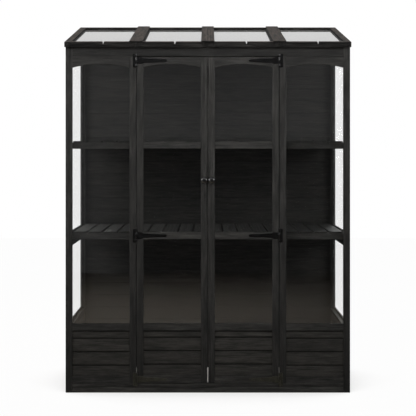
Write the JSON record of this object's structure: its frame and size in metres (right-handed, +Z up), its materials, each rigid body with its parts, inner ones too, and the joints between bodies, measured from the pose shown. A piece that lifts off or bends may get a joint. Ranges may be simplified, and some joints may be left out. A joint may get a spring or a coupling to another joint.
{
  "type": "wooden mini greenhouse cabinet",
  "caption": "Tall pent-roofed greenhouse cabinet of black-stained timber: clear panes above boarded panels, arched double doors on T-hinges, slatted shelves, glazed roof.",
  "frame": {"origin": "middle of the footprint on the ground", "axes": "+X to the right seen from the doors, +Y to the back, +Z up"},
  "size_m": [1.207, 0.623, 1.6093],
  "materials": {
    "black_stained_wood": "black stain, open grain, low sheen",
    "clear_sheet": "clear rigid sheet",
    "hazy_roof_sheet": "milky translucent sheet",
    "black_steel": "black powder coat, satin",
    "black_gloss_knob": "black, glossy",
    "black_plastic": "black moulded",
    "plated_steel": "zinc plated"
  },
  "bodies": {
    "cabinet": {"left_front_frame": "black_stained_wood", "left_front_boards": "black_stained_wood", "left_side_frame": "black_stained_wood", "left_side_boards": "black_stained_wood", "left_back_frame": "black_stained_wood", "left_back_boards": "black_stained_wood", "left_front_pane": "clear_sheet", "left_side_lower_pane": "clear_sheet", "left_side_upper_pane": "clear_sheet", "right_front_frame": "black_stained_wood", "right_front_boards": "black_stained_wood", "right_side_frame": "black_stained_wood", "right_side_boards": "black_stained_wood", "right_back_frame": "black_stained_wood", "right_back_boards": "black_stained_wood", "right_front_pane": "clear_sheet", "right_side_lower_pane": "clear_sheet", "right_side_upper_pane": "clear_sheet", "front_header_rail": "black_stained_wood", "front_plinth_rail": "black_stained_wood", "lower_shelf": "black_stained_wood", "upper_shelf": "black_stained_wood", "roof_frame_1": "black_stained_wood", "roof_pane_1": "hazy_roof_sheet", "roof_frame_2": "black_stained_wood", "roof_pane_2": "hazy_roof_sheet", "roof_frame_3": "black_stained_wood", "roof_pane_3": "hazy_roof_sheet", "roof_frame_4": "black_stained_wood", "roof_pane_4": "hazy_roof_sheet", "roof_batten_1": "black_stained_wood", "roof_batten_2": "black_stained_wood", "roof_batten_3": "black_stained_wood", "left_top_hinge_plate": "black_steel", "left_middle_hinge_plate": "black_steel", "left_bottom_hinge_plate": "black_steel", "right_top_hinge_plate": "black_steel", "right_middle_hinge_plate": "black_steel", "right_bottom_hinge_plate": "black_steel", "door_magnet_catch": "black_plastic"},
    "left_door": {"left_top_hinge_strap": "black_steel", "left_middle_hinge_strap": "black_steel", "left_bottom_hinge_strap": "black_steel", "left_door_frame": "black_stained_wood", "left_door_boards": "black_stained_wood", "left_door_lower_pane": "clear_sheet", "left_door_middle_pane": "clear_sheet", "left_door_upper_pane": "clear_sheet", "left_door_knob": "black_gloss_knob", "left_door_strike_plate": "plated_steel"},
    "right_door": {"right_top_hinge_strap": "black_steel", "right_middle_hinge_strap": "black_steel", "right_bottom_hinge_strap": "black_steel", "right_door_frame": "black_stained_wood", "right_door_boards": "black_stained_wood", "right_door_lower_pane": "clear_sheet", "right_door_middle_pane": "clear_sheet", "right_door_upper_pane": "clear_sheet", "right_door_knob": "black_gloss_knob", "right_door_strike_plate": "plated_steel"}
  },
  "joints": [
    {"name": "left_door_hinge", "type": "hinge", "parent": "cabinet", "child": "left_door", "pos_m": [-0.30125, -0.28749, 0.661], "axis": [0, 0, -1], "range_deg": [0, 170]},
    {"name": "right_door_hinge", "type": "hinge", "parent": "cabinet", "child": "right_door", "pos_m": [0.30125, -0.28749, 0.661], "axis": [0, 0, 1], "range_deg": [0, 170]}
  ]
}
